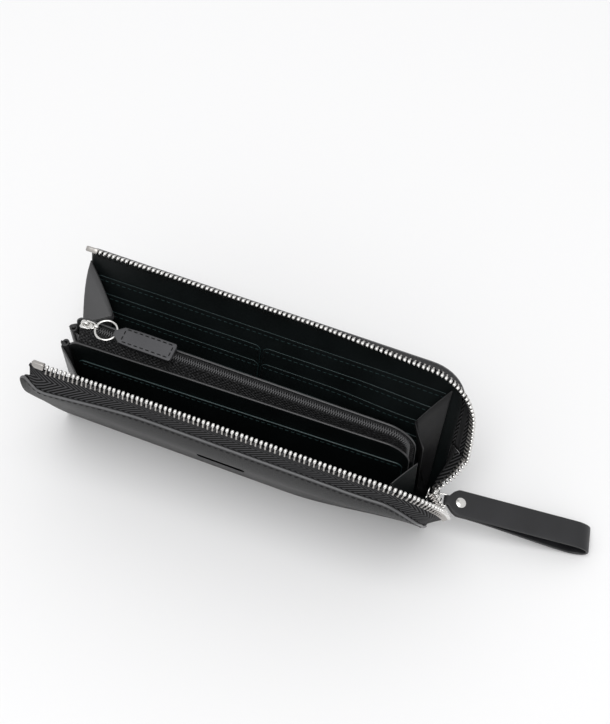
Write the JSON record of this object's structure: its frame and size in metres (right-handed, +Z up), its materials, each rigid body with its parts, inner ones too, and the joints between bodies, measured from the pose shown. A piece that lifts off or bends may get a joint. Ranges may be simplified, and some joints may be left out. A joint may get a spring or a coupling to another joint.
{
  "type": "long zip wallet",
  "caption": "Long leather wallet, open: zip round its top and right side, accordion ends, zipped coin purse in the middle, card pockets and a wrist strap.",
  "frame": {"origin": "centre of the underside of the spine, where the wallet rests", "axes": "+X along the wallet towards the wrist strap, -Y towards the front cover, +Z up out of the opening"},
  "size_m": [0.2722, 0.0787, 0.0945],
  "materials": {
    "outer_leather": "fine embossed grain, satin",
    "inner_leather": "smooth, satin",
    "strap_leather": "smooth, satin",
    "lining": "dark woven lining",
    "board": "thin stiffening board",
    "zip_tape": "herringbone woven tape",
    "zip_coil": "black nylon coil",
    "metal": "polished nickel",
    "plate": "gloss black"
  },
  "bodies": {
    "centre": {"spine_leather": "outer_leather", "spine_lining": "lining", "purse_back_panel": "inner_leather", "purse_front_panel": "inner_leather", "purse_lining": "lining", "purse_back_tape": "zip_tape", "purse_front_tape": "zip_tape", "purse_zip_coil": "zip_coil", "purse_zip_end_stop": "metal", "purse_end_web": "inner_leather", "purse_left_gusset": "inner_leather", "divider_slip_pocket": "inner_leather", "zip_bottom_stop": "metal", "zip_foot": "zip_tape", "front_left_gusset": "inner_leather", "back_left_gusset": "inner_leather", "front_right_gusset": "inner_leather", "back_right_gusset": "inner_leather", "front_zip_tail": "zip_tape", "back_zip_tail": "zip_tape", "front_tail_teeth": "metal", "back_tail_teeth": "metal"},
    "front_cover": {"front_cover_leather": "outer_leather", "front_cover_board": "board", "front_cover_lining": "lining", "front_zip_tape": "zip_tape", "front_zip_teeth": "metal", "front_zip_top_stop": "metal", "name_plate": "plate"},
    "back_cover": {"back_cover_leather": "outer_leather", "back_cover_board": "board", "back_cover_lining": "lining", "back_zip_tape": "zip_tape", "back_zip_teeth": "metal", "back_zip_top_stop": "metal", "long_slip_pocket": "inner_leather", "card_row_1_left": "inner_leather", "card_row_1_right": "inner_leather", "card_row_2_left": "inner_leather", "card_row_2_right": "inner_leather", "card_row_3_left": "inner_leather", "card_row_3_right": "inner_leather"},
    "zip_slider": {"zip_slider_body": "metal"},
    "slider_pull": {"slider_pull_link": "metal"},
    "wrist_strap": {"wrist_strap": "strap_leather", "strap_rivet_cap": "metal", "strap_rivet_base": "metal"},
    "purse_slider": {"purse_slider_body": "metal"},
    "purse_tab": {"purse_slider_tab": "metal"},
    "purse_ring": {"purse_pull_ring": "metal"},
    "purse_puller": {"purse_puller": "strap_leather"}
  },
  "joints": [
    {"name": "front_fold", "type": "hinge", "parent": "centre", "child": "front_cover", "pos_m": [0, -0.0129, 0.001], "axis": [1, 0, 0], "range_deg": [-20, 14], "deforming": ["front_left_gusset", "front_right_gusset", "front_zip_tail", "front_tail_teeth"]},
    {"name": "back_fold", "type": "hinge", "parent": "centre", "child": "back_cover", "pos_m": [0, 0.0129, 0.001], "axis": [-1, 0, 0], "range_deg": [-19, 14], "deforming": ["back_left_gusset", "back_right_gusset", "back_zip_tail", "back_tail_teeth"]},
    {"name": "zip_slide", "type": "slide", "parent": "centre", "child": "zip_slider", "axis": [0, 0, 1], "range_m": [0, 0.012]},
    {"name": "pull_lift", "type": "hinge", "parent": "zip_slider", "child": "slider_pull", "pos_m": [0.0988, 0, 0.0252], "axis": [0.1994, -0.9799, 0], "range_deg": [0, 60]},
    {"name": "strap_lift", "type": "hinge", "parent": "slider_pull", "child": "wrist_strap", "pos_m": [0.10252, 0.00076, 0.0252], "axis": [0.1994, -0.9799, 0], "range_deg": [0, 45]},
    {"name": "purse_slide", "type": "slide", "parent": "centre", "child": "purse_slider", "axis": [1, 0, 0], "range_m": [0, 0.14]},
    {"name": "tab_lift", "type": "hinge", "parent": "purse_slider", "child": "purse_tab", "pos_m": [-0.083, 0.0016, 0.07625], "axis": [0, -1, 0], "range_deg": [0, 60]},
    {"name": "ring_swing", "type": "hinge", "parent": "purse_tab", "child": "purse_ring", "pos_m": [-0.0772, 0.0016, 0.07625], "axis": [0, -1, 0], "range_deg": [0, 50]},
    {"name": "puller_swing", "type": "hinge", "parent": "purse_ring", "child": "purse_puller", "pos_m": [-0.0666, 0.0016, 0.07625], "axis": [0, -1, 0], "range_deg": [0, 45]}
  ]
}
